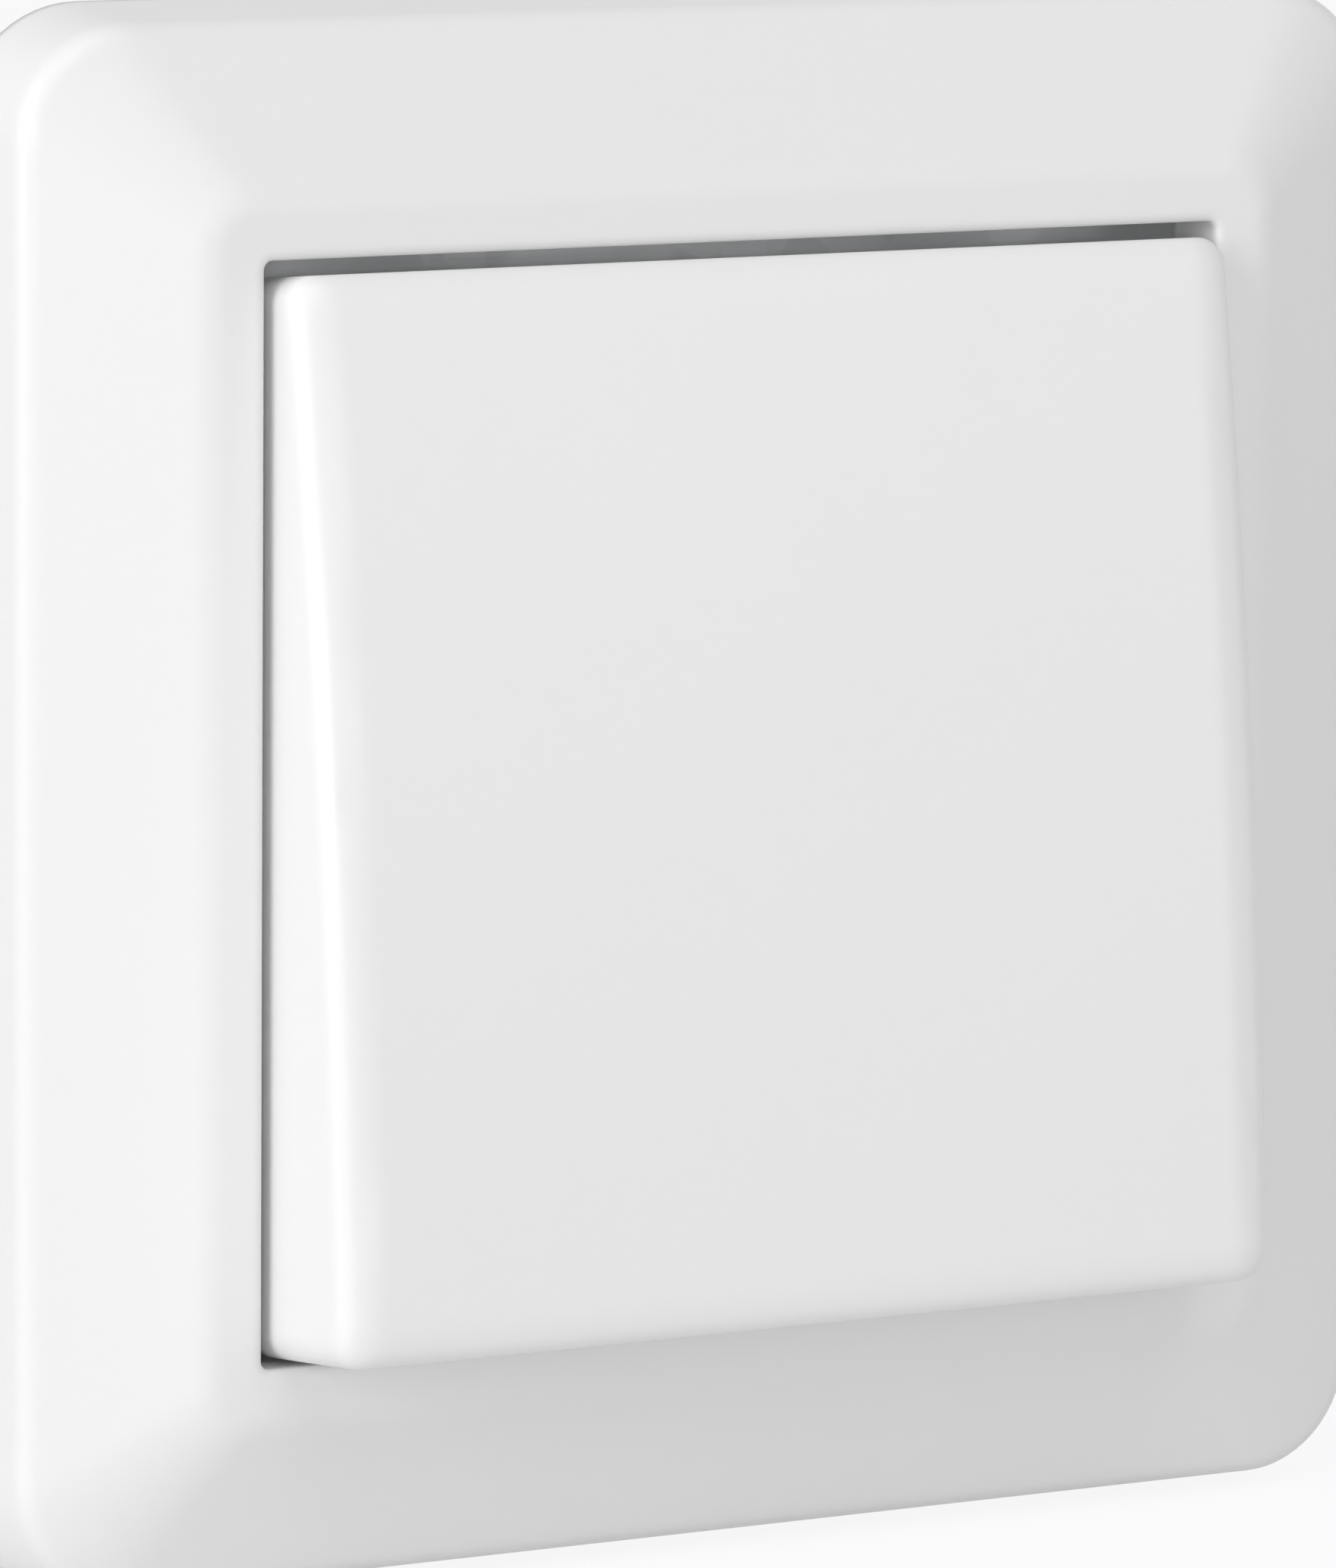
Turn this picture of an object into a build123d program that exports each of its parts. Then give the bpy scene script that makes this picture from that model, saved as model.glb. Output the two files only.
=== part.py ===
from build123d import *
from math import asin, cos, hypot, radians, sin, sqrt, tan
import os

# A flush-mounted rocker switch for a round wall box, in millimetres.
# Every piece is drawn as seen from the room: x to the right, y up and z out of the wall,
# with z = 0 on the wall. The last step turns it so that the room side is -Y and up is +Z.

# Cover frame: flared sides, then sloping faces that rise to a flat band around the square opening
frame_overhang = 4.5
frame_corner_r = 6.0
frame_flare = 0.75
frame_depth = 9.6
frame_side = 5.9
frame_wall = 2.0
frame_edge_r = 1.2
band_width = 3.0
band_corner_r = 2.5
band_edge_r = 3.0
opening_size = 56.4
opening_corner_r = 0.5
lip_edge_r = 0.3
collar_wall = 1.6
collar_margin = 0.35
snap_rib_width = 3.8
snap_rib_depth = 0.9
snap_rib_height = 0.7
frame_rib_wall = 1.0
frame_rib_rise = 2.5
frame_rib_offset = 12.0

# Rocker cap, which turns on its carrier about a level axis just behind its face
rocker_gap = 0.75
rocker_side_gap = 0.55
rocker_tilt = 6.0
pivot_rise = 2.0
rocker_rise = 3.8
rocker_crown = 0.8
rocker_roll_r = 4.5
rocker_roll_width = 2.2
rocker_edge_r = 0.9
rocker_corner_r = 1.4
face_corner_r = 0.2
rocker_face = 2.2
rocker_wall = 1.6
skirt_clearance = 0.45
face_rib_wall = 1.0
face_rib_depth = 2.0
face_rib_offset = 18.0
hook_width = 8.0
hook_wall = 1.2
hook_nose = 0.7

# Rocker carrier with its trunnions and the boss for the toggle spring
carrier_width = 32.0
carrier_height = 24.0
carrier_wall = 1.5
carrier_arm = 1.8
trunnion_r = 1.25
boss_wall = 1.0
boss_end = 0.5
bore_end = 1.2

# Toggle plunger and spring
plunger_r = 2.24
plunger_length = 6.0
plunger_nose_r = 1.7
plunger_nose = 1.3
plunger_cup_r = 1.65
plunger_cup_depth = 3.2
tip_depth = 2.1
spring_mean_r = 1.3
spring_wire = 0.45
spring_turns = 6.5

# See-saw contact bridge and the contact rivets
bridge_tilt = 8.0
bridge_wall = 0.8
bridge_width = 5.0
bridge_waist = 9.0
bridge_waist_length = 5.0
bridge_overhang = 2.0
bridge_corner_r = 0.6
contact_reach = 10.0
contact_r = 1.6
contact_head = 0.9
contact_dome = 0.35
contact_shank_r = 0.8
contact_tail_r = 1.2
contact_tail = 0.4
prong_width = 1.0
prong_offset = 2.5
prong_rise = 1.3
tab_edge_r = 0.35

# Terminal strips and clamp springs
strip_wall = 0.8
strip_bend_r = 1.0
strip_width = 5.6
strip_end_gap = 3.4
cell_depth = 10.5
common_arm_width = 5.4
clamp_wall = 0.5
clamp_width = 5.4
clamp_bend_r = 0.9
clamp_leg = 8.8
clamp_rise = 7.4
wire_entry = 3.0
wire_funnel = 3.8
wire_funnel_depth = 1.0

# Release buttons of the push-in terminals
button_width = 3.0
button_height = 7.0
button_reach = 1.6
button_rise = 2.4
button_edge_r = 0.6

# Insert: body behind the support plate, cover in front of it
body_size = 43.0
body_corner_r = 8.0
body_depth = 22.0
body_wall = 1.6
body_floor = 1.6
body_edge_r = 1.2
core_wall = 2.0
cover_inset = 0.5
cover_wall = 1.6
rim_wall = 1.2
rim_depth = 1.4
cheek_wall = 2.0
cheek_width = 6.4
cheek_rise = 0.75
cheek_bevel = 1.6
gusset_length = 3.0
post_size = 2.4
post_offset = 9.0
screw_inset = 4.0
screw_r = 1.15
screw_length = 11.0
screw_head_r = 2.2
screw_head = 1.3
screw_boss_wall = 1.25
cross_slot = 0.6
cross_reach = 1.3
cross_depth = 0.7

# Support plate of zinc-coated steel
plate_margin = 2.5
plate_corner_r = 5.0
plate_wall = 1.2
plate_overlap = 2.5
plate_chamfer = 8.0
box_pitch = 60.0
slot_width = 3.8
slot_length = 6.0
tongue_offset = 16.0
tongue_width = 7.0
tongue_bend_r = 1.0
catch_bridge = 0.9
bead_length = 8.0
bead_width = 2.4
bead_rise = 0.5

# Clearances between neighbouring pieces
seat_gap = 0.05
running_gap = 0.06
slide_gap = 0.15
side_gap = 0.3
tip_gap = 0.15
contact_gap = 0.1
stop_gap = 0.15

# Sizes worked out from the ones above
plate_size = box_pitch + slot_length + 2 * plate_margin
plate_opening = body_size - 2 * plate_overlap
frame_size = plate_size + 2 * frame_overhang
ridge_size = opening_size + 2 * band_width
collar_size = opening_size + 2 * collar_wall
slope = (frame_depth - frame_side) / ((frame_size - ridge_size) / 2)
slope_wall = frame_wall * hypot(1, slope)
tongue_y = collar_size / 2 + slide_gap + plate_wall / 2
tongue_face = tongue_y + plate_wall / 2
tongue_top = frame_side + (frame_size / 2 - tongue_face) * slope - slope_wall - slide_gap
rib_high = tongue_top - catch_bridge - slide_gap
rib_low = rib_high - snap_rib_height
collar_end = rib_low - collar_margin

tilt = radians(rocker_tilt)
pivot_height = frame_depth + pivot_rise
rocker_size = opening_size - 2 * rocker_gap
rocker_width = opening_size - 2 * rocker_side_gap
crown_r = ((rocker_size / 2) ** 2 + rocker_crown**2) / (2 * rocker_crown)
skirt_z = (plate_wall + skirt_clearance + rocker_size / 2 * sin(tilt) - pivot_height) / cos(tilt)
ceiling_z = rocker_rise - rocker_face
carrier_z = ceiling_z - carrier_wall
boss_reach = pivot_height - boss_end
bore_r = plunger_r + running_gap
boss_r = bore_r + boss_wall
tip_reach = pivot_height + tip_depth

bridge_turn = radians(bridge_tilt)
fulcrum_z = -tip_depth - tip_gap - bridge_wall
dome_r = (contact_r**2 + contact_dome**2) / (2 * contact_dome)
contact_y = contact_reach * cos(bridge_turn) + (dome_r - contact_head) * sin(bridge_turn)
dome_rise = (dome_r - contact_head) * cos(bridge_turn) - dome_r
closed_z = fulcrum_z - contact_reach * sin(bridge_turn) + dome_rise
strip_top = closed_z - contact_gap - contact_head
deck_z = strip_top - strip_wall

floor_z = body_floor - body_depth
cell_end = body_size / 2 - body_wall
cell_offset = cell_end - cell_depth
cell_half = contact_y + max(clamp_width, strip_width) / 2 + side_gap
clamp_plate_x = cell_offset + seat_gap + strip_wall / 2
clamp_leg_x = cell_end - seat_gap - clamp_wall / 2
clamp_tip_x = clamp_plate_x + strip_wall / 2 + side_gap + clamp_wall
clamp_bend_z = floor_z + 2 * clamp_bend_r
wire_x = clamp_plate_x + strip_wall / 2 + slide_gap + wire_entry / 2
button_x = wire_x + wire_entry / 2 + side_gap + button_width / 2

cover_size = body_size - 2 * cover_inset
cover_top = plate_wall + cover_wall
cheek_x = carrier_width / 2 + side_gap
rim_size = plate_opening - 2 * slide_gap
screw_place = body_size / 2 - screw_inset
screw_corners = [(x * screw_place, y * screw_place) for x in (-1, 1) for y in (-1, 1)]


def square(size, corner_r, height=0.0):
    """A rounded square at a height above the wall."""
    return Pos(0, 0, height) * RectangleRounded(size, size, corner_r)


def block(x_span, y_span, z_span):
    """A box between two values on each axis."""
    spans = (x_span, y_span, z_span)
    centre = [(low + high) / 2 for low, high in spans]
    return Pos(*centre) * Box(*[high - low for low, high in spans])


def bent_strip(points, bend_r, wall, width):
    """A sheet strip of constant wall, bent along a line of points and centred on its width."""
    line = FilletPolyline(*points, radius=bend_r)
    return extrude(trace(line, wall), width / 2, both=True)


def octagon(size, cut, low, high):
    """A square prism with its corners cut off, between two heights."""
    outline = chamfer(Rectangle(size, size).vertices(), cut)
    return extrude(Pos(0, 0, low) * outline, high - low)


def edges_at(shape, height):
    """The edges that lie in one level plane."""
    return shape.edges().filter_by_position(Axis.Z, height - seat_gap, height + seat_gap)


def rocker_pose(shape):
    """Puts a piece drawn about the pivot where it rests, with the top of the rocker pressed in."""
    return Pos(0, 0, pivot_height) * Rot(-rocker_tilt, 0, 0) * shape


def bridge_pose(shape):
    """Puts a piece drawn about the fulcrum where it rests, with the lower contact closed."""
    return Pos(0, 0, fulcrum_z) * Rot(bridge_tilt, 0, 0) * shape


def flared_square(inset, height):
    """The outline of the frame's side at a height, or of its inner wall at an inset from there."""
    flare = frame_flare * (1 - height / frame_side) - inset
    return square(frame_size + 2 * flare, frame_corner_r + flare, height)


def frame_rib():
    """One stiffening rib behind the frame, from its collar to its side, clear of the plate below."""
    low = plate_wall + frame_rib_rise
    y_span = (collar_size / 2 - collar_wall / 2, frame_size / 2)
    return block((-frame_rib_wall / 2, frame_rib_wall / 2), y_span, (low, frame_depth))


def cover_frame():
    """The visible frame, hollow behind, with a collar around the rocker, ribs and four snap ribs."""
    shoulder = flared_square(0, frame_side)
    envelope = loft([flared_square(0, 0), shoulder])
    envelope += loft([shoulder, square(ridge_size, band_corner_r, frame_depth)])
    envelope = fillet(edges_at(envelope, frame_side), frame_edge_r)
    envelope = fillet(edges_at(envelope, frame_depth), band_edge_r)

    low = frame_side + frame_wall * slope - slope_wall
    top = frame_depth - frame_wall
    hollow_top = frame_size - 2 * (top + slope_wall - frame_side) / slope
    hollow_shoulder = flared_square(frame_wall, low)
    hollow = loft([flared_square(frame_wall, 0), hollow_shoulder])
    hollow += loft([hollow_shoulder, square(hollow_top, band_corner_r, top)])
    collar_outline = square(collar_size, opening_corner_r + collar_wall, collar_end)
    hollow -= extrude(collar_outline, top - collar_end)
    for turn, offset in ((0, 0), (180, 0), (90, -1), (90, 1), (270, -1), (270, 1)):
        hollow -= Rot(0, 0, turn) * Pos(offset * frame_rib_offset, 0, 0) * frame_rib()
    shell = envelope - hollow
    shell -= extrude(square(opening_size, opening_corner_r), frame_depth)
    reach = opening_size / 2 + band_width / 10
    lip = [e for e in edges_at(shell, frame_depth) if max(abs(e.center().X), abs(e.center().Y)) < reach]
    shell = fillet(lip, lip_edge_r)

    for side in (-1, 1):
        inner = side * (collar_size / 2 - collar_wall / 2)
        outer = side * (collar_size / 2 + snap_rib_depth)
        for x in (-tongue_offset, tongue_offset):
            x_span = (x - snap_rib_width / 2, x + snap_rib_width / 2)
            shell += block(x_span, sorted((inner, outer)), (rib_low, rib_high))
    return shell


def support_plate():
    """The steel plate: octagonal opening, slots, screw holes, corner beads and four bent-up tongues."""
    plate = extrude(square(plate_size, plate_corner_r), plate_wall)
    plate -= octagon(plate_opening, plate_chamfer, 0, plate_wall)
    slot = extrude(SlotOverall(slot_length, slot_width), plate_wall)
    for side in (-1, 1):
        plate -= Pos(side * box_pitch / 2, 0, 0) * slot
    for x, y in screw_corners:
        plate -= Pos(x, y, 0) * extrude(Circle(screw_r + slide_gap), plate_wall)

    ridge = extrude(Pos(0, 0, plate_wall) * SlotOverall(bead_length, bead_width), bead_rise)
    groove = extrude(SlotOverall(bead_length - 2 * bead_rise, bead_width - 2 * bead_rise), bead_rise)
    bead_place = plate_size / 2 - plate_corner_r
    for x in (-1, 1):
        for y in (-1, 1):
            across = Pos(x * bead_place, y * bead_place, 0) * Rot(0, 0, -45 * x * y)
            plate += across * ridge
            plate -= across * groove

    middle = plate_wall / 2
    bend_y = tongue_y - tongue_bend_r
    points = [(bend_y - plate_wall, middle), (tongue_y, middle), (tongue_y, tongue_top)]
    tongue = Plane.YZ * bent_strip(points, tongue_bend_r, plate_wall, tongue_width)
    half_catch = snap_rib_width / 2 + slide_gap
    catch_y = (tongue_y - plate_wall, tongue_y + plate_wall)
    tongue -= block((-half_catch, half_catch), catch_y, (rib_low - slide_gap, rib_high + slide_gap))
    half_notch = tongue_width / 2 + side_gap
    notch = block((-half_notch, half_notch), (bend_y, plate_size / 2), (0, plate_wall))
    for x in (-tongue_offset, tongue_offset):
        for turn in (0, 180):
            plate -= Rot(0, 0, turn) * Pos(x, 0, 0) * notch
            plate += Rot(0, 0, turn) * Pos(x, 0, 0) * tongue
    return plate


def rocker_pillow():
    """A crowned block wider than the rocker, whose large edge rounding makes the face roll off softly."""
    spread = rocker_roll_r - rocker_roll_width
    half = rocker_size / 2 + spread
    edge_z = rocker_rise - crown_r + sqrt(crown_r**2 - half**2)
    sides = Polyline((half, edge_z), (half, skirt_z), (-half, skirt_z), (-half, edge_z))
    crown = ThreePointArc((-half, edge_z), (0, rocker_rise), (half, edge_z))
    profile = make_face([*sides.edges(), crown.edge()])
    pillow = extrude(Plane.YZ * profile, rocker_width / 2 + spread, both=True)
    pillow = fillet(pillow.edges().filter_by(Axis.Z), rocker_roll_r + face_corner_r)
    return fillet(pillow.faces().sort_by(Axis.Z)[-1].edges(), rocker_roll_r)


def rocker():
    """The rocker cap, drawn about its pivot: soft crowned face, rounded edges, skirt, ribs and hooks."""
    pillow = rocker_pillow()
    outline = RectangleRounded(rocker_width, rocker_size, rocker_corner_r)
    sides = extrude(Pos(0, 0, skirt_z) * outline, rocker_rise - skirt_z)
    cap = pillow & sides
    rim = [edge for edge in new_edges(pillow, sides, combined=cap) if edge.center().Z > ceiling_z]
    cap = fillet(rim, rocker_edge_r)

    inner_x = rocker_width / 2 - rocker_wall
    inner_y = rocker_size / 2 - rocker_wall
    cap -= block((-inner_x, inner_x), (-inner_y, inner_y), (skirt_z, ceiling_z))
    for side in (-1, 1):
        rib_y = side * face_rib_offset
        rib_span = (rib_y - face_rib_wall / 2, rib_y + face_rib_wall / 2)
        cap += block((-inner_x, inner_x), rib_span, (ceiling_z - face_rib_depth, ceiling_z))
    return cap + rocker_hook() + Rot(0, 0, 180) * rocker_hook()


def rocker_hook():
    """One snap hook under the rocker's face, which catches the upper edge of the carrier."""
    near = carrier_height / 2 + seat_gap
    catch = carrier_z - seat_gap
    nose_end = catch - hook_nose
    points = [
        (near, ceiling_z),
        (near, catch),
        (near - hook_nose, catch),
        (near, nose_end - hook_nose),
        (near + hook_wall, nose_end - hook_nose),
        (near + hook_wall, ceiling_z),
    ]
    profile = make_face(Polyline(*points, close=True))
    return extrude(Plane.YZ * profile, hook_width / 2, both=True)


def rocker_carrier():
    """The carrier, drawn about its pivot: plate, two arms with trunnions, and the spring boss."""
    half = carrier_width / 2
    plate = Pos(0, 0, carrier_z) * RectangleRounded(carrier_width, carrier_height, trunnion_r)
    carrier = extrude(plate, carrier_wall)
    arm_half = trunnion_r + carrier_arm / 2
    trunnion_length = side_gap + cheek_wall
    for side in (-1, 1):
        arm_x = sorted((side * (half - carrier_arm), side * half))
        carrier += block(arm_x, (-arm_half, arm_half), (-arm_half, carrier_z))
        end = Plane(origin=(side * half, 0, 0), z_dir=(side, 0, 0))
        carrier += extrude(end * Circle(trunnion_r), trunnion_length)
    carrier += extrude(Pos(0, 0, -boss_reach) * Circle(boss_r), boss_reach + carrier_z)
    carrier -= extrude(Pos(0, 0, -boss_reach) * Circle(bore_r), boss_reach - bore_end)
    return carrier


def dome(base_r, height, apex_z):
    """The arc of a dome that hangs down to its apex on the z axis."""
    ball_r = (base_r**2 + height**2) / (2 * height)
    half_turn = asin(base_r / ball_r) / 2
    middle = (ball_r * sin(half_turn), apex_z + ball_r * (1 - cos(half_turn)))
    return ThreePointArc((base_r, apex_z + height), middle, (0, apex_z)).edge()


def toggle_plunger():
    """The plunger, drawn about the pivot: a guided cup with a rounded nose."""
    top = plunger_length - tip_reach
    shoulder = plunger_nose - tip_reach
    sides = Polyline(
        (0, -tip_reach),
        (0, top),
        (plunger_r, top),
        (plunger_r, shoulder),
        (plunger_nose_r, shoulder),
    )
    nose = dome(plunger_nose_r, plunger_nose, -tip_reach)
    plunger = revolve(Plane.XZ * make_face([*sides.edges(), nose]), Axis.Z)
    cup = Pos(0, 0, top - plunger_cup_depth) * Circle(plunger_cup_r)
    return plunger - extrude(cup, plunger_cup_depth)


def toggle_spring():
    """The compression spring between the plunger's cup and the end of the boss's bore."""
    margin = spring_wire / 2 + seat_gap
    low = plunger_length - tip_reach - plunger_cup_depth + margin
    length = -bore_end - margin - low
    coil = Pos(0, 0, low) * Helix(pitch=length / spring_turns, height=length, radius=spring_mean_r)
    wire = Plane(origin=coil @ 0, z_dir=coil % 0) * Circle(spring_wire / 2)
    return sweep(wire, path=coil)


def contact_rivet(wall):
    """A contact rivet through a strip: domed head below, shank, and a flat tail above."""
    base = contact_dome - contact_head
    tail_z = wall + contact_tail
    sides = Polyline(
        (0, -contact_head),
        (0, tail_z),
        (contact_tail_r, tail_z),
        (contact_tail_r, wall),
        (contact_shank_r, wall),
        (contact_shank_r, 0),
        (contact_r, 0),
        (contact_r, base),
    )
    head = dome(contact_r, contact_dome, -contact_head)
    return revolve(Plane.XZ * make_face([*sides.edges(), head]), Axis.Z)


def contact_bridge():
    """The see-saw strip, drawn about the fulcrum: wide waist, prong windows and rivet holes."""
    length = 2 * (contact_reach + bridge_overhang)
    outline = Rectangle(bridge_width, length) + Rectangle(bridge_waist, bridge_waist_length)
    outline = fillet(outline.vertices(), bridge_corner_r)
    window_width = prong_width + 2 * slide_gap
    window_length = strip_wall + 2 * (prong_rise * tan(bridge_turn) + slide_gap)
    for side in (-1, 1):
        outline -= Pos(side * prong_offset, 0) * Rectangle(window_width, window_length)
        outline -= Pos(0, side * contact_reach) * Circle(contact_shank_r)
    return extrude(outline, bridge_wall)


def bridge_contacts():
    """The two contact rivets of the bridge."""
    return [Pos(0, side * contact_reach, 0) * contact_rivet(bridge_wall) for side in (-1, 1)]


def fixed_contacts():
    """The contact rivets of the two output strips, with their heads towards the bridge."""
    rivet = Pos(0, 0, strip_top) * Rot(180, 0, 0) * contact_rivet(strip_wall)
    return [Pos(0, side * contact_y, 0) * rivet for side in (-1, 1)]


def output_terminal(side):
    """An output strip: a contact arm on the deck, bent down to make the clamp plate of its cell."""
    middle = strip_top - strip_wall / 2
    points = [(-strip_width / 2, middle), (clamp_plate_x, middle), (clamp_plate_x, floor_z + strip_end_gap)]
    strip = Plane.XZ * bent_strip(points, strip_bend_r, strip_wall, strip_width)
    strip -= Pos(0, 0, deck_z) * extrude(Circle(contact_shank_r), strip_wall)
    return Pos(0, side * contact_y, 0) * strip


def common_terminal():
    """The feed strip: a wide clamp plate, an arm to the middle, and the fulcrum tab with two prongs."""
    middle = strip_top - strip_wall / 2
    flange_x = 2 * strip_bend_r - cell_offset
    points = [(flange_x, middle), (-clamp_plate_x, middle), (-clamp_plate_x, floor_z + strip_end_gap)]
    strip = Plane.XZ * bent_strip(points, strip_bend_r, strip_wall, 2 * contact_y + strip_width)
    tab_half = prong_offset + prong_width / 2
    tab_y = (-strip_wall / 2, strip_wall / 2)
    arm_y = (tab_y[1] - common_arm_width, tab_y[1])
    strip += block((flange_x, tab_half), arm_y, (deck_z, strip_top))
    tab = block((-tab_half, tab_half), tab_y, (deck_z, fulcrum_z - contact_gap))
    tab = fillet(tab.edges().filter_by(Axis.X).group_by(Axis.Z)[-1], tab_edge_r)
    for side in (-1, 1):
        prong_x = side * prong_offset
        prong_span = (prong_x - prong_width / 2, prong_x + prong_width / 2)
        tab += block(prong_span, tab_y, (deck_z, fulcrum_z + prong_rise))
    return strip + tab


def clamp_spring(x_side, y_side):
    """A leaf spring: a leg along the cell's outer wall, and a free leg towards the clamp plate."""
    leg = [(clamp_leg_x, clamp_bend_z + clamp_leg), (clamp_leg_x, clamp_bend_z)]
    points = [*leg, (clamp_tip_x, clamp_bend_z + clamp_rise)]
    spring = Plane.XZ * bent_strip(points, clamp_bend_r, clamp_wall, clamp_width)
    turn = 0 if x_side > 0 else 180
    return Rot(0, 0, turn) * Pos(0, x_side * y_side * contact_y, 0) * spring


def release_button(x_side):
    """A release button: a stem through the rear floor and a cross bar under both clamp springs."""
    leg_slope = clamp_rise / (clamp_leg_x - clamp_tip_x)
    leg_gap = clamp_leg_x - button_x - button_width / 2
    leg_under = clamp_bend_z + leg_gap * leg_slope - clamp_wall / 2 * hypot(1, leg_slope)
    bar_top = leg_under - side_gap
    bar_half = contact_y - clamp_width / 2 + button_reach
    span = (-button_width / 2, button_width / 2)
    stem = block(span, (-button_height / 2, button_height / 2), (-body_depth - button_rise, bar_top))
    stem = fillet(edges_at(stem, -body_depth - button_rise), button_edge_r)
    bar = block(span, (-bar_half, bar_half), (floor_z + seat_gap, bar_top))
    return Pos(x_side * button_x, 0, 0) * (stem + bar)


def insert_body():
    """The rear moulding: contact chamber, deck for the strips, two terminal cells and their entries."""
    body = extrude(square(body_size, body_corner_r, -body_depth), body_depth)
    body = fillet(edges_at(body, -body_depth), body_edge_r)
    inner = body_size - 2 * body_wall
    chamber = extrude(square(inner, body_corner_r - body_wall, deck_z), -deck_z)
    for x, y in screw_corners:
        chamber -= extrude(Pos(x, y, deck_z) * Circle(screw_r + screw_boss_wall), -deck_z)
    body -= chamber

    for side in (-1, 1):
        cell_x = sorted((side * cell_offset, side * cell_end))
        body -= block(cell_x, (-cell_half, cell_half), (floor_z, deck_z))
        body -= deck_edge(side)
        hole_half = (button_width / 2 + slide_gap, button_height / 2 + slide_gap)
        hole_x = (side * button_x - hole_half[0], side * button_x + hole_half[0])
        body -= block(hole_x, (-hole_half[1], hole_half[1]), (-body_depth, floor_z))
        for y in (-contact_y, contact_y):
            body -= Pos(side * wire_x, y, 0) * wire_hole()
    hole_end = cover_top - screw_length - side_gap
    for x, y in screw_corners:
        body -= extrude(Pos(x, y, hole_end) * Circle(screw_r + seat_gap), -hole_end)

    rivet_span = (-contact_r, contact_r)
    rivet_room = block(rivet_span, rivet_span, (deck_z - contact_tail - seat_gap, deck_z))
    for y in (-contact_y, contact_y):
        body -= Pos(0, y, 0) * rivet_room
    core_half = cell_offset - core_wall
    core_span = (-core_half, core_half)
    for low, high in ((-cell_half, -core_wall / 2), (core_wall / 2, cell_half)):
        body -= block(core_span, (low, high), (-body_depth, deck_z - 2 * core_wall))
    return body


def deck_edge(side):
    """The bevel of the deck's edge, which gives the bends of the strips room."""
    corner = (cell_offset, deck_z)
    points = [(cell_offset - strip_bend_r, deck_z), corner, (cell_offset, deck_z - strip_bend_r)]
    bevel = extrude(Plane.XZ * make_face(Polyline(*points, close=True)), cell_half, both=True)
    return bevel if side > 0 else Rot(0, 0, 180) * bevel


def wire_hole():
    """One square wire entry through the rear floor, with a funnel on the outside."""
    span = (-wire_entry / 2, wire_entry / 2)
    hole = block(span, span, (-body_depth, floor_z))
    mouth = Pos(0, 0, -body_depth) * Rectangle(wire_funnel, wire_funnel)
    throat = Pos(0, 0, wire_funnel_depth - body_depth) * Rectangle(wire_entry, wire_entry)
    return hole + loft([mouth, throat], ruled=True)


def insert_cover():
    """The front moulding: flange, locating rim, boss window, bearing cheeks and rocker stops."""
    cover = extrude(square(cover_size, body_corner_r, plate_wall), cover_wall)
    rim = octagon(rim_size, plate_chamfer, -rim_depth, plate_wall)
    rim -= octagon(rim_size - 2 * rim_wall, plate_chamfer - rim_wall / 2, -rim_depth, plate_wall)
    cover += rim

    sway = boss_reach * sin(tilt)
    cheek_top = pivot_height + cheek_rise
    arm_y = cheek_width / 2
    for side in (-1, 1):
        cheek_x_span = sorted((side * cheek_x, side * (cheek_x + cheek_wall)))
        cheek = block(cheek_x_span, (-arm_y, arm_y), (plate_wall, cheek_top))
        cover += chamfer(edges_at(cheek, cheek_top).filter_by(Axis.X), cheek_bevel)
        gusset_x = sorted((side * (cheek_x + cheek_wall / 2), side * cover_size / 2))
        cover += block(gusset_x, (-cheek_wall / 2, cheek_wall / 2), (plate_wall, cover_top + gusset_length))
        for y_side in (-1, 1):
            post_y = y_side * post_offset
            outer = post_offset + post_size / 2
            post_top = pivot_height + carrier_z * cos(tilt) - outer * sin(tilt) - stop_gap
            y_span = (post_y - post_size / 2, post_y + post_size / 2)
            post_x = side * post_offset
            cover += block((post_x - post_size / 2, post_x + post_size / 2), y_span, (plate_wall, post_top))
    axle = Plane(origin=(-cover_size, 0, pivot_height), z_dir=(1, 0, 0)) * Circle(trunnion_r + running_gap)
    cover -= extrude(axle, 2 * cover_size)
    window_x = boss_r + side_gap
    window_y = boss_r + sway + side_gap
    cover -= block((-window_x, window_x), (-window_y, window_y), (plate_wall, cover_top))
    for x, y in screw_corners:
        cover -= extrude(Pos(x, y, plate_wall) * Circle(screw_r + slide_gap), cover_wall)
    return cover


def assembly_screws():
    """The four pan-head screws that hold cover, plate and body together."""
    shank = extrude(Pos(0, 0, cover_top - screw_length) * Circle(screw_r), screw_length)
    head = extrude(Pos(0, 0, cover_top) * Circle(screw_head_r), screw_head)
    head = fillet(head.edges().sort_by(Axis.Z)[-1], screw_head / 2)
    top = cover_top + screw_head
    arm = (-cross_reach, cross_reach)
    notch = (-cross_slot / 2, cross_slot / 2)
    cross = block(arm, notch, (top - cross_depth, top)) + block(notch, arm, (top - cross_depth, top))
    screw = shank + head - cross
    return [Pos(x, y, 0) * screw for x, y in screw_corners]


room_side = Plane(origin=(0, 0, 0), x_dir=(1, 0, 0), z_dir=(0, -1, 0)).location

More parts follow.
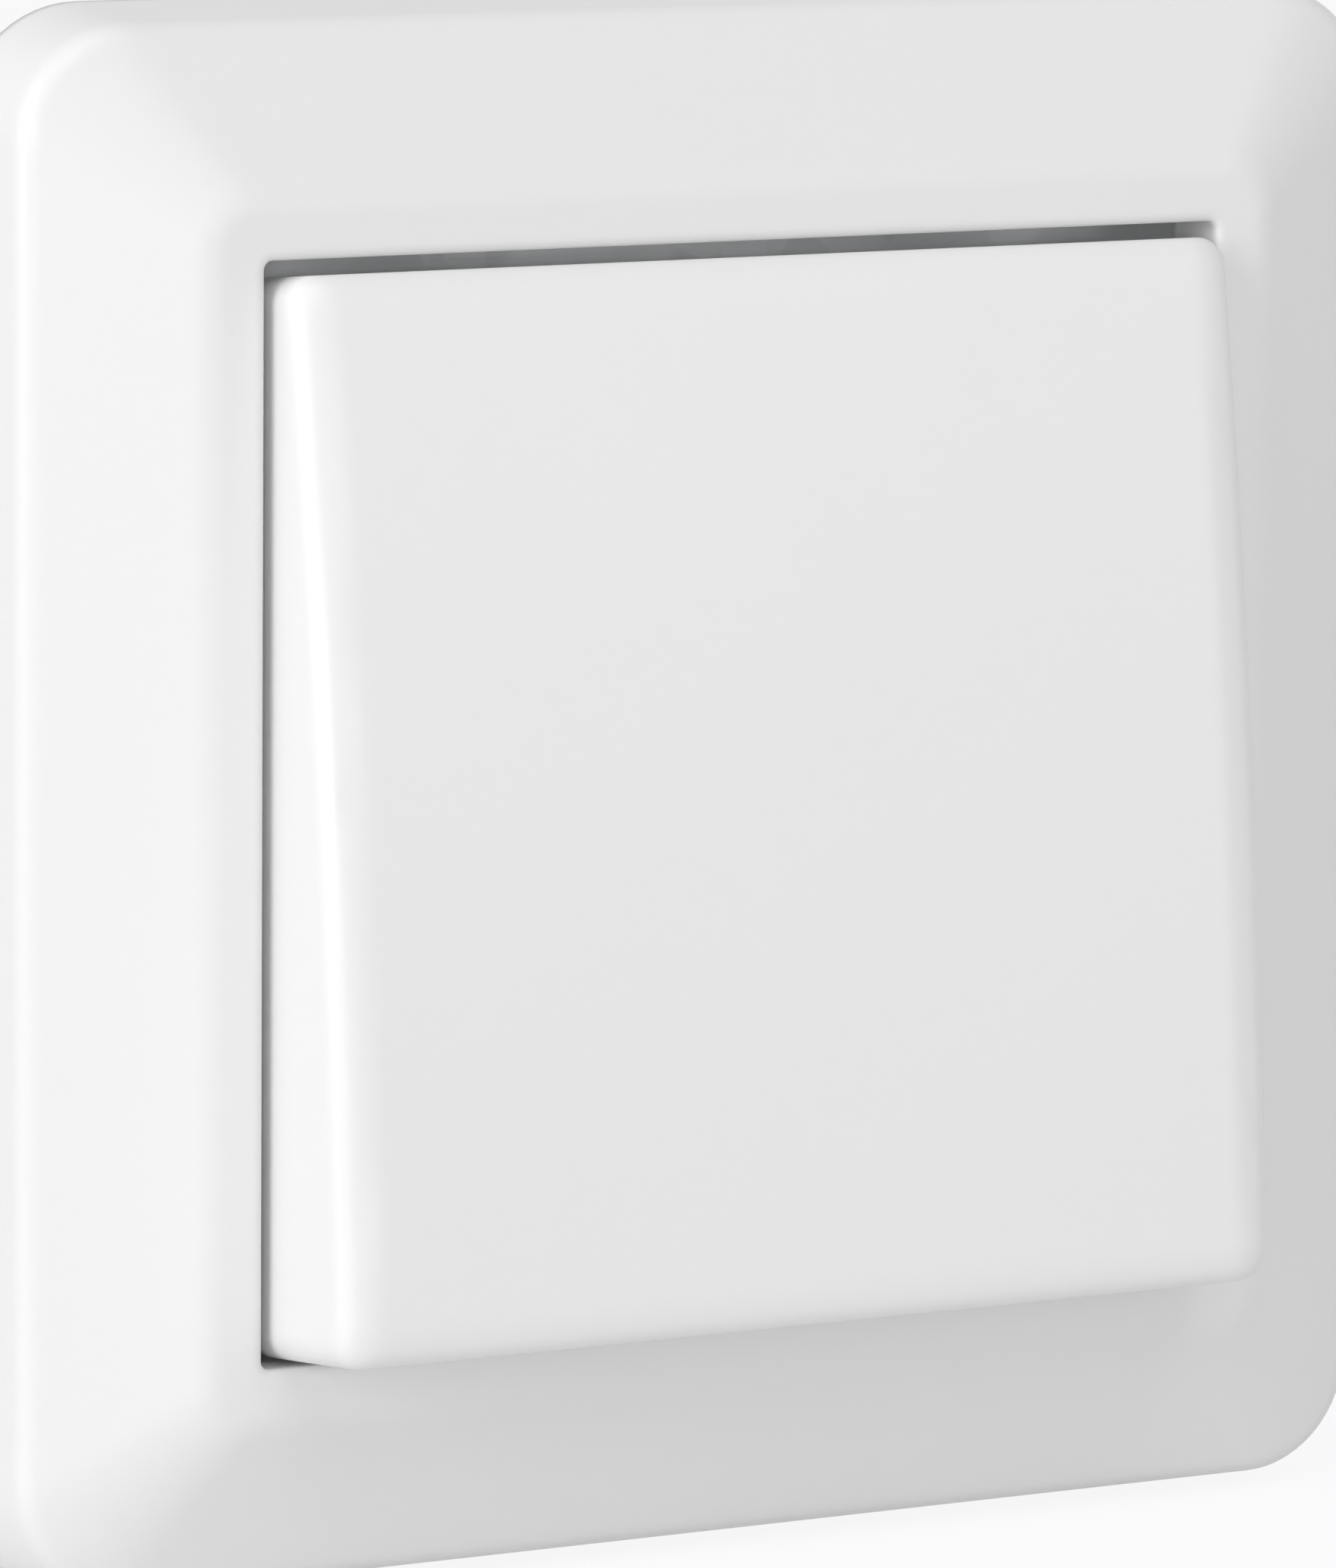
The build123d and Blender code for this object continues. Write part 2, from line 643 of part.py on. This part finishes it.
pieces = {
    "cover_frame": cover_frame(),
    "rocker": rocker_pose(rocker()),
    "rocker_carrier": rocker_pose(rocker_carrier()),
    "support_plate": support_plate(),
    "insert_body": insert_body(),
    "insert_cover": insert_cover(),
    "assembly_screws": assembly_screws(),
    "toggle_spring": rocker_pose(toggle_spring()),
    "toggle_plunger": rocker_pose(toggle_plunger()),
    "contact_bridge": bridge_pose(contact_bridge()),
    "bridge_contacts": [bridge_pose(rivet) for rivet in bridge_contacts()],
    "common_terminal": common_terminal(),
    "upper_terminal": output_terminal(1),
    "lower_terminal": output_terminal(-1),
    "fixed_contacts": fixed_contacts(),
    "clamp_spring_feed_upper": clamp_spring(-1, 1),
    "clamp_spring_feed_lower": clamp_spring(-1, -1),
    "clamp_spring_out_upper": clamp_spring(1, 1),
    "clamp_spring_out_lower": clamp_spring(1, -1),
    "release_button_feed": release_button(-1),
    "release_button_out": release_button(1),
}

os.makedirs("parts", exist_ok=True)
for name, piece in pieces.items():
    solids = piece if isinstance(piece, list) else [piece]
    placed = [room_side * solid for solid in solids]
    node = placed[0] if len(placed) == 1 else Compound(children=placed)
    export_step(node, f"parts/{name}.step")
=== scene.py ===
import math

import bmesh
import bpy
from mathutils import Matrix, Vector


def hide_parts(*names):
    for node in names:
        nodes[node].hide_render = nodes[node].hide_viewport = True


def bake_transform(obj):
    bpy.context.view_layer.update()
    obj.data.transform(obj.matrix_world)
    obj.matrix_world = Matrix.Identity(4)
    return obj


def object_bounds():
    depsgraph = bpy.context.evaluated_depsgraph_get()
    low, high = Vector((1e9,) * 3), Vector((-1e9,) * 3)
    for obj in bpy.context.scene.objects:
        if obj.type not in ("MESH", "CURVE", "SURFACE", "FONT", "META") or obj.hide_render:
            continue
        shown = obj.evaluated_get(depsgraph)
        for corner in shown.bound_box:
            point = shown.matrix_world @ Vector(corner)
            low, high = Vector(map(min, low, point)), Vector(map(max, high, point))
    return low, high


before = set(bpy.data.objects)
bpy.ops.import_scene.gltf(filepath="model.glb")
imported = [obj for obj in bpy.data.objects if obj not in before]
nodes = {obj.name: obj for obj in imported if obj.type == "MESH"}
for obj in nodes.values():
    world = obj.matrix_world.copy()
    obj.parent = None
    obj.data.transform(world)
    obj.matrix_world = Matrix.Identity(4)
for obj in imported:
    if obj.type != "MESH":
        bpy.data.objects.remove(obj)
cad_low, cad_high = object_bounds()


# Cover frame: the one-piece square frame around the rocker, injection moulded in glossy white
# plastic. Its mould is polished and then lightly blasted, which leaves a very fine even grain.
def moulded_skin():
    """A node group for moulded plastic: slow shades from the melt's flow, and the mould's grain."""
    group = bpy.data.node_groups.new("moulded_skin", "ShaderNodeTree")
    sockets = group.interface
    sockets.new_socket("Colour", in_out="INPUT", socket_type="NodeSocketColor")
    sockets.new_socket("Flow Shade", in_out="INPUT", socket_type="NodeSocketFloat")
    sockets.new_socket("Flow Scale", in_out="INPUT", socket_type="NodeSocketFloat")
    sockets.new_socket("Grain Scale", in_out="INPUT", socket_type="NodeSocketFloat")
    sockets.new_socket("Gloss Low", in_out="INPUT", socket_type="NodeSocketFloat")
    sockets.new_socket("Gloss High", in_out="INPUT", socket_type="NodeSocketFloat")
    sockets.new_socket("Colour", in_out="OUTPUT", socket_type="NodeSocketColor")
    sockets.new_socket("Roughness", in_out="OUTPUT", socket_type="NodeSocketFloat")
    sockets.new_socket("Height", in_out="OUTPUT", socket_type="NodeSocketFloat")
    tree, link = group.nodes, group.links.new
    given, made = tree.new("NodeGroupInput"), tree.new("NodeGroupOutput")
    place = tree.new("ShaderNodeTexCoord")

    flow_tint = (0.86, 0.85, 0.83, 1.0)
    flow_low, flow_high = 0.3, 0.7
    flow = tree.new("ShaderNodeTexNoise")
    flow.inputs["Detail"].default_value = 3.0
    link(place.outputs["Object"], flow.inputs["Vector"])
    link(given.outputs["Flow Scale"], flow.inputs["Scale"])
    shade = tree.new("ShaderNodeMath")
    shade.operation = "MULTIPLY"
    link(flow.outputs["Fac"], shade.inputs[0])
    link(given.outputs["Flow Shade"], shade.inputs[1])
    tint = tree.new("ShaderNodeMix")
    tint.data_type = "RGBA"
    tint.blend_type = "MULTIPLY"
    tint.inputs["B"].default_value = flow_tint
    link(shade.outputs["Value"], tint.inputs["Factor"])
    link(given.outputs["Colour"], tint.inputs["A"])
    link(tint.outputs["Result"], made.inputs["Colour"])

    grain = tree.new("ShaderNodeTexNoise")
    grain.inputs["Detail"].default_value = 2.0
    link(place.outputs["Object"], grain.inputs["Vector"])
    link(given.outputs["Grain Scale"], grain.inputs["Scale"])
    link(grain.outputs["Fac"], made.inputs["Height"])
    gloss = tree.new("ShaderNodeMapRange")
    gloss.inputs["From Min"].default_value = flow_low
    gloss.inputs["From Max"].default_value = flow_high
    link(flow.outputs["Fac"], gloss.inputs["Value"])
    link(given.outputs["Gloss Low"], gloss.inputs["To Min"])
    link(given.outputs["Gloss High"], gloss.inputs["To Max"])
    link(gloss.outputs["Result"], made.inputs["Roughness"])
    return group


skin = moulded_skin()
plastic_ior = 1.49
flow_scale = 45.0
edge_samples = 8


def moulded_plastic(name, colour, flow_shade, grain_scale, gloss, bump, bump_depth, soft_edge):
    """A plastic with the moulded skin.

    gloss is its range of roughness, bump_depth the grain's depth and soft_edge the radius over
    which its edges shade as rounded, both in metres.
    """
    material = bpy.data.materials.new(name)
    material.use_nodes = True
    tree, link = material.node_tree.nodes, material.node_tree.links.new
    plastic = tree["Principled BSDF"]
    plastic.inputs["IOR"].default_value = plastic_ior
    surface = tree.new("ShaderNodeGroup")
    surface.node_tree = skin
    surface.inputs["Colour"].default_value = (*colour, 1.0)
    surface.inputs["Flow Shade"].default_value = flow_shade
    surface.inputs["Flow Scale"].default_value = flow_scale
    surface.inputs["Grain Scale"].default_value = grain_scale
    surface.inputs["Gloss Low"].default_value = gloss[0]
    surface.inputs["Gloss High"].default_value = gloss[1]
    edge = tree.new("ShaderNodeBevel")
    edge.samples = edge_samples
    edge.inputs["Radius"].default_value = soft_edge
    relief = tree.new("ShaderNodeBump")
    relief.inputs["Strength"].default_value = bump
    relief.inputs["Distance"].default_value = bump_depth
    link(edge.outputs["Normal"], relief.inputs["Normal"])
    link(surface.outputs["Height"], relief.inputs["Height"])
    link(surface.outputs["Colour"], plastic.inputs["Base Color"])
    link(surface.outputs["Roughness"], plastic.inputs["Roughness"])
    link(relief.outputs["Normal"], plastic.inputs["Normal"])
    return material


def dress(material, *names):
    """Gives CAD nodes a material."""
    for name in names:
        nodes[name].data.materials.clear()
        nodes[name].data.materials.append(material)


frame_white = moulded_plastic(
    "frame_white", colour=(0.83, 0.83, 0.828), flow_shade=0.03, grain_scale=5200.0,
    gloss=(0.3, 0.38), bump=0.12, bump_depth=0.00002, soft_edge=0.0008,
)
dress(frame_white, "cover_frame")


# Rocker cap: the pressed face of the switch, moulded in the same white as the frame but in another
# mould, with a slightly smoother face. Its colour is set a little lighter than the frame's: painted
# light, for the extra light its upward-tilted face takes from above. Two hooks under its face snap
# it onto the carrier.
rocker_lit_white = moulded_plastic(
    "rocker_lit_white", colour=(0.85, 0.85, 0.848), flow_shade=0.025, grain_scale=5600.0,
    gloss=(0.29, 0.36), bump=0.1, bump_depth=0.00002, soft_edge=0.0012,
)
dress(rocker_lit_white, "rocker")


# Carrier and plunger: the moving inner mouldings, in uncoloured nylon-like plastic that slides well
# without grease. The carrier turns in the cover's cheeks, and the plunger slides in its boss.
carrier_ivory = moulded_plastic(
    "carrier_ivory", colour=(0.72, 0.7, 0.64), flow_shade=0.25, grain_scale=2600.0,
    gloss=(0.42, 0.55), bump=0.2, bump_depth=0.00003, soft_edge=0.0002,
)
dress(carrier_ivory, "rocker_carrier", "toggle_plunger")


# Insert body and cover: the two halves of the switch insert, in grey heat-resistant plastic with a
# dull mineral grain. Four screws clamp them to both faces of the support plate.
insert_grey = moulded_plastic(
    "insert_grey", colour=(0.55, 0.56, 0.57), flow_shade=0.45, grain_scale=1500.0,
    gloss=(0.45, 0.62), bump=0.35, bump_depth=0.00005, soft_edge=0.0002,
)
dress(insert_grey, "insert_body", "insert_cover")


# Release buttons: two short dark keys behind the insert, moulded in hard plastic. A push on one
# bends its two clamp springs and lets the wires go.
button_grey = moulded_plastic(
    "button_grey", colour=(0.2, 0.21, 0.22), flow_shade=0.4, grain_scale=2200.0,
    gloss=(0.38, 0.5), bump=0.25, bump_depth=0.00004, soft_edge=0.0002,
)
dress(button_grey, "release_button_feed", "release_button_out")


# Support plate and screws: stamped sheet steel and turned screws, both coated with zinc. The coat
# shows a faint crystal pattern on the plate, and rolling lines run across it.
def drawn_metal():
    """A node group for rolled or drawn metal: lines along one direction, and a blotchy coat."""
    group = bpy.data.node_groups.new("drawn_metal", "ShaderNodeTree")
    sockets = group.interface
    sockets.new_socket("Colour", in_out="INPUT", socket_type="NodeSocketColor")
    sockets.new_socket("Coat Colour", in_out="INPUT", socket_type="NodeSocketColor")
    sockets.new_socket("Line Stretch", in_out="INPUT", socket_type="NodeSocketVector")
    sockets.new_socket("Coat Scale", in_out="INPUT", socket_type="NodeSocketFloat")
    sockets.new_socket("Gloss Low", in_out="INPUT", socket_type="NodeSocketFloat")
    sockets.new_socket("Gloss High", in_out="INPUT", socket_type="NodeSocketFloat")
    sockets.new_socket("Colour", in_out="OUTPUT", socket_type="NodeSocketColor")
    sockets.new_socket("Roughness", in_out="OUTPUT", socket_type="NodeSocketFloat")
    sockets.new_socket("Height", in_out="OUTPUT", socket_type="NodeSocketFloat")
    tree, link = group.nodes, group.links.new
    given, made = tree.new("NodeGroupInput"), tree.new("NodeGroupOutput")
    place = tree.new("ShaderNodeTexCoord")

    stretch = tree.new("ShaderNodeVectorMath")
    stretch.operation = "MULTIPLY"
    link(place.outputs["Object"], stretch.inputs[0])
    link(given.outputs["Line Stretch"], stretch.inputs[1])
    lines = tree.new("ShaderNodeTexNoise")
    lines.inputs["Scale"].default_value = 1.0
    lines.inputs["Detail"].default_value = 4.0
    link(stretch.outputs["Vector"], lines.inputs["Vector"])
    link(lines.outputs["Fac"], made.inputs["Height"])

    crystals = tree.new("ShaderNodeTexVoronoi")
    link(place.outputs["Object"], crystals.inputs["Vector"])
    link(given.outputs["Coat Scale"], crystals.inputs["Scale"])
    level = tree.new("ShaderNodeSeparateColor")
    link(crystals.outputs["Color"], level.inputs["Color"])
    coat = tree.new("ShaderNodeMix")
    coat.data_type = "RGBA"
    link(level.outputs["Red"], coat.inputs["Factor"])
    link(given.outputs["Colour"], coat.inputs["A"])
    link(given.outputs["Coat Colour"], coat.inputs["B"])
    link(coat.outputs["Result"], made.inputs["Colour"])

    crystal_share = 0.35
    dull_low, dull_high = 0.3, 1.0
    dullness = tree.new("ShaderNodeMath")
    dullness.operation = "MULTIPLY_ADD"
    dullness.inputs[1].default_value = crystal_share
    link(level.outputs["Green"], dullness.inputs[0])
    link(lines.outputs["Fac"], dullness.inputs[2])
    gloss = tree.new("ShaderNodeMapRange")
    gloss.inputs["From Min"].default_value = dull_low
    gloss.inputs["From Max"].default_value = dull_high
    link(dullness.outputs["Value"], gloss.inputs["Value"])
    link(given.outputs["Gloss Low"], gloss.inputs["To Min"])
    link(given.outputs["Gloss High"], gloss.inputs["To Max"])
    link(gloss.outputs["Result"], made.inputs["Roughness"])
    return group


metal_skin = drawn_metal()
line_depth = 0.00002


def rolled_metal(name, colour, coat_colour, line_stretch, coat_scale, gloss, bump):
    """A metal with lines and coat: line_stretch is the lines per metre along each axis."""
    material = bpy.data.materials.new(name)
    material.use_nodes = True
    tree, link = material.node_tree.nodes, material.node_tree.links.new
    metal = tree["Principled BSDF"]
    metal.inputs["Metallic"].default_value = 1.0
    surface = tree.new("ShaderNodeGroup")
    surface.node_tree = metal_skin
    surface.inputs["Colour"].default_value = (*colour, 1.0)
    surface.inputs["Coat Colour"].default_value = (*coat_colour, 1.0)
    surface.inputs["Line Stretch"].default_value = line_stretch
    surface.inputs["Coat Scale"].default_value = coat_scale
    surface.inputs["Gloss Low"].default_value = gloss[0]
    surface.inputs["Gloss High"].default_value = gloss[1]
    relief = tree.new("ShaderNodeBump")
    relief.inputs["Strength"].default_value = bump
    relief.inputs["Distance"].default_value = line_depth
    link(surface.outputs["Height"], relief.inputs["Height"])
    link(surface.outputs["Colour"], metal.inputs["Base Color"])
    link(surface.outputs["Roughness"], metal.inputs["Roughness"])
    link(relief.outputs["Normal"], metal.inputs["Normal"])
    return material


plate_zinc = rolled_metal(
    "plate_zinc", colour=(0.78, 0.79, 0.8), coat_colour=(0.85, 0.86, 0.87),
    line_stretch=(60.0, 900.0, 2600.0), coat_scale=420.0, gloss=(0.44, 0.58), bump=0.2,
)
dress(plate_zinc, "support_plate")
screw_zinc = rolled_metal(
    "screw_zinc", colour=(0.62, 0.63, 0.64), coat_colour=(0.7, 0.7, 0.71),
    line_stretch=(900.0, 2400.0, 900.0), coat_scale=900.0, gloss=(0.29, 0.42), bump=0.15,
)
dress(screw_zinc, "assembly_screws")


# Toggle spring: a compression coil of drawn spring steel wire, wound cold and cut off. It sits
# between the end of the carrier's bore and the plunger's cup, and shortens when the plunger slides.
spring_steel = rolled_metal(
    "spring_steel", colour=(0.5, 0.5, 0.51), coat_colour=(0.56, 0.56, 0.58),
    line_stretch=(2600.0, 300.0, 3200.0), coat_scale=700.0, gloss=(0.29, 0.4), bump=0.12,
)
rocker_pivot = Vector((0.0, -0.0116, 0.0))
plunger_axis = Vector((0.0, 0.994522, -0.104528))
coil_near, coil_far = 0.001475, 0.010625
bore_end, cup_end = [rocker_pivot + reach * plunger_axis for reach in (coil_near, coil_far)]
coil_radius, coil_wire, coil_turns = 0.0013, 0.00045, 6.5
wire_sides, steps_per_turn = 12, 24
coil_length = coil_far - coil_near
coil_angle = coil_turns * 2 * math.pi
coil_steps = round(coil_turns * steps_per_turn)
coil_slope = math.atan(coil_length / (coil_angle * coil_radius))
sharp_angle = math.radians(60)


def finished_piece(name, maker, material):
    """Makes an object of a finished bmesh, with smooth faces that part at sharp edges."""
    bmesh.ops.recalc_face_normals(maker, faces=maker.faces)
    maker.normal_update()
    for face in maker.faces:
        face.smooth = True
    for edge in maker.edges:
        edge.smooth = edge.calc_face_angle(0.0) < sharp_angle
    mesh = bpy.data.meshes.new(name)
    maker.to_mesh(mesh)
    maker.free()
    mesh.materials.append(material)
    piece = bpy.data.objects.new(name, mesh)
    bpy.context.scene.collection.objects.link(piece)
    return piece


coil = bmesh.new()
bmesh.ops.create_circle(coil, segments=wire_sides, radius=coil_wire / 2)
bmesh.ops.rotate(coil, matrix=Matrix.Rotation(math.pi / 2 + coil_slope, 3, "X"), verts=coil.verts)
bmesh.ops.translate(coil, vec=(coil_radius, 0.0, 0.0), verts=coil.verts)
bmesh.ops.spin(
    coil, geom=coil.verts[:] + coil.edges[:], cent=(0.0, 0.0, 0.0), axis=(0.0, 0.0, 1.0),
    dvec=(0.0, 0.0, coil_length / coil_steps), angle=coil_angle, steps=coil_steps,
)
bmesh.ops.holes_fill(coil, edges=[edge for edge in coil.edges if edge.is_boundary])
coil_turn = Vector((0.0, 0.0, 1.0)).rotation_difference(plunger_axis).to_matrix().to_4x4()
bmesh.ops.transform(coil, matrix=Matrix.Translation(bore_end) @ coil_turn, verts=coil.verts)
toggle_coil = finished_piece("toggle_coil", coil, spring_steel)
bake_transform(toggle_coil)
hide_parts("toggle_spring")


# Clamp springs: four leaves of rolled spring steel strip, each bent to a narrow V. One leg stands
# at the cell's outer wall, and the free leg holds the wire until the release button bends it away.
leaf_wall, leaf_width = 0.0005, 0.0054
leaf_foot = (0.0196, 0.0098)
leaf_bend = (0.0196, 0.0186)
leaf_tip = (0.01105, 0.0112)
leaf_centre_z = 0.01031
bend_length, bend_segments = 0.00237, 8
shortest_leg, leg_cuts = 0.006, 15


def clamp_leaf(name, side, height):
    """One clamp spring: side is -1 at the feed cells, and height is -1 at the lower cells."""
    leaf = bmesh.new()
    low_z = height * leaf_centre_z - leaf_width / 2
    foot, bend, tip = [leaf.verts.new((x, y, low_z)) for x, y in (leaf_foot, leaf_bend, leaf_tip)]
    line = [leaf.edges.new((foot, bend)), leaf.edges.new((bend, tip))]
    made = bmesh.ops.extrude_edge_only(leaf, edges=line)["geom"]
    far_side = [part for part in made if isinstance(part, bmesh.types.BMVert)]
    bmesh.ops.translate(leaf, vec=(0.0, 0.0, leaf_width), verts=far_side)
    fold = [edge for edge in bend.link_edges if len(edge.link_faces) == 2]
    bmesh.ops.bevel(
        leaf, geom=fold, offset=bend_length, offset_type="ABSOLUTE", segments=bend_segments,
        profile=0.5, affect="EDGES", material=-1,
    )
    legs = [edge for edge in leaf.edges if edge.calc_length() > shortest_leg]
    bmesh.ops.subdivide_edges(leaf, edges=legs, cuts=leg_cuts, use_grid_fill=True)
    bmesh.ops.recalc_face_normals(leaf, faces=leaf.faces)
    leaf.normal_update()
    for vert in leaf.verts:
        vert.co += vert.normal * leaf_wall / 2
    bmesh.ops.solidify(leaf, geom=leaf.faces[:], thickness=leaf_wall)
    bmesh.ops.scale(leaf, vec=(side, 1.0, 1.0), verts=leaf.verts)
    return finished_piece(name, leaf, spring_steel)


for row, side in (("feed", -1), ("out", 1)):
    for cell, height in (("upper", 1), ("lower", -1)):
        leaf = clamp_leaf(f"clamp_leaf_{row}_{cell}", side, height)
        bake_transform(leaf)
        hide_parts(f"clamp_spring_{row}_{cell}")


# Current path: the bridge and the three terminal strips are stamped from brass strip, and the
# contact rivets headed into them are silver.
strip_brass = rolled_metal(
    "strip_brass", colour=(0.75, 0.57, 0.27), coat_colour=(0.68, 0.49, 0.22),
    line_stretch=(400.0, 2800.0, 3000.0), coat_scale=350.0, gloss=(0.29, 0.42), bump=0.15,
)
dress(strip_brass, "contact_bridge", "common_terminal", "upper_terminal", "lower_terminal")
contact_silver = rolled_metal(
    "contact_silver", colour=(0.82, 0.81, 0.78), coat_colour=(0.74, 0.73, 0.7),
    line_stretch=(1800.0, 1800.0, 1800.0), coat_scale=1200.0, gloss=(0.28, 0.36), bump=0.1,
)
dress(contact_silver, "bridge_contacts", "fixed_contacts")


# Floor: a plain white sheet under the switch, which stands on the lower edge of its frame. It
# and the backdrop are white where they are looked at, and the sheet keeps a faint shadow.
floor_reach, floor_gap = 3.0, 0.0002
floor_white = 0.9
floor_mesh = bpy.data.meshes.new("floor")
sheet = bmesh.new()
bmesh.ops.create_grid(sheet, x_segments=1, y_segments=1, size=floor_reach)
bmesh.ops.translate(sheet, vec=(0.0, 0.0, cad_low.z - floor_gap), verts=sheet.verts)
sheet.to_mesh(floor_mesh)
sheet.free()
floor = bpy.data.objects.new("floor", floor_mesh)
bpy.context.scene.collection.objects.link(floor)


def seen_directly(tree, link):
    """A value of 1 for rays from camera, mirrors and glass, and 0 for light on the object."""
    path = tree.new("ShaderNodeLightPath")
    glossy = tree.new("ShaderNodeMath")
    glossy.operation = "MAXIMUM"
    link(path.outputs["Is Camera Ray"], glossy.inputs[0])
    link(path.outputs["Is Glossy Ray"], glossy.inputs[1])
    clear = tree.new("ShaderNodeMath")
    clear.operation = "MAXIMUM"
    link(glossy.outputs["Value"], clear.inputs[0])
    link(path.outputs["Is Transmission Ray"], clear.inputs[1])
    return clear.outputs["Value"]


paper = bpy.data.materials.new("floor_paper")
paper.use_nodes = True
tree, link = paper.node_tree.nodes, paper.node_tree.links.new
matt = tree["Principled BSDF"]
matt.inputs["Base Color"].default_value = (0.8, 0.8, 0.8, 1.0)
matt.inputs["Roughness"].default_value = 0.9
matt.inputs["Specular IOR Level"].default_value = 0.1
glow = tree.new("ShaderNodeEmission")
glow.inputs["Strength"].default_value = 1.0
share = tree.new("ShaderNodeMath")
share.operation = "MULTIPLY"
share.inputs[1].default_value = floor_white
link(seen_directly(tree, link), share.inputs[0])
seen = tree.new("ShaderNodeMixShader")
link(share.outputs["Value"], seen.inputs["Fac"])
link(matt.outputs["BSDF"], seen.inputs[1])
link(glow.outputs["Emission"], seen.inputs[2])
link(seen.outputs["Shader"], tree["Material Output"].inputs["Surface"])
floor_mesh.materials.append(paper)


# Light: a large soft box to the left of the switch and one above it, two weaker ones in front, and
# a pale room that fills the shadows.
world = bpy.data.worlds.new("room")
bpy.context.scene.world = world
world.use_nodes = True
tree, link = world.node_tree.nodes, world.node_tree.links.new
room_light = 0.4
room = tree["Background"]
room.inputs["Color"].default_value = (1.0, 1.0, 1.0, 1.0)
level = tree.new("ShaderNodeMapRange")
level.inputs["To Min"].default_value = room_light
level.inputs["To Max"].default_value = 1.0
link(seen_directly(tree, link), level.inputs["Value"])
link(level.outputs["Result"], room.inputs["Strength"])


def soft_box(name, azimuth, elevation, distance, size, power):
    """A square area lamp that faces the switch.

    azimuth runs from straight in front to the right and elevation upwards, both in degrees.
    """
    lamp = bpy.data.lights.new(name, "AREA")
    lamp.shape = "SQUARE"
    lamp.size = size
    lamp.energy = power
    turn, rise = math.radians(azimuth), math.radians(elevation)
    away = Vector((
        math.sin(turn) * math.cos(rise), -math.cos(turn) * math.cos(rise), math.sin(rise)
    ))
    box = bpy.data.objects.new(name, lamp)
    box.location = away * distance
    box.rotation_mode = "QUATERNION"
    box.rotation_quaternion = away.to_track_quat("Z", "Y")
    bpy.context.scene.collection.objects.link(box)


soft_box("left_box", azimuth=-75, elevation=15, distance=2.5, size=1.6, power=34.8)
soft_box("high_box", azimuth=-10, elevation=50, distance=2.5, size=1.6, power=13.6)
soft_box("front_box", azimuth=-30, elevation=4, distance=2.8, size=0.4, power=7.8)
soft_box("fill_box", azimuth=20, elevation=12, distance=2.5, size=1.2, power=4.1)


# Camera: a long lens a little above the switch and to its left, as in the photograph, whose frame
# is 1766 by 2072 pixels.
photo_height = 2072
aim = Vector((0.00065, 0.0, -0.00116))
camera_yaw, camera_pitch, camera_roll = [math.radians(turn) for turn in (29.75, 8.03, 0.47)]
camera_distance = 0.5496
pixels_per_metre = 25202.0
back = Vector((
    -math.sin(camera_yaw) * math.cos(camera_pitch),
    -math.cos(camera_yaw) * math.cos(camera_pitch),
    math.sin(camera_pitch),
))
right = (-back).cross(Vector((0.0, 0.0, 1.0))).normalized()
above = right.cross(-back)
right, above = (
    math.cos(camera_roll) * right + math.sin(camera_roll) * above,
    math.cos(camera_roll) * above - math.sin(camera_roll) * right,
)
lens = bpy.data.cameras.new("camera")
lens.sensor_width = 36.0
lens.lens = lens.sensor_width * pixels_per_metre * camera_distance / photo_height
lens.clip_start = 0.01
camera = bpy.data.objects.new("camera", lens)
camera_turn = Matrix((right, above, back)).transposed().to_4x4()
camera.matrix_world = Matrix.Translation(aim + back * camera_distance) @ camera_turn
bpy.context.scene.collection.objects.link(camera)
bpy.context.scene.camera = camera
bpy.context.scene.view_settings.view_transform = "Standard"
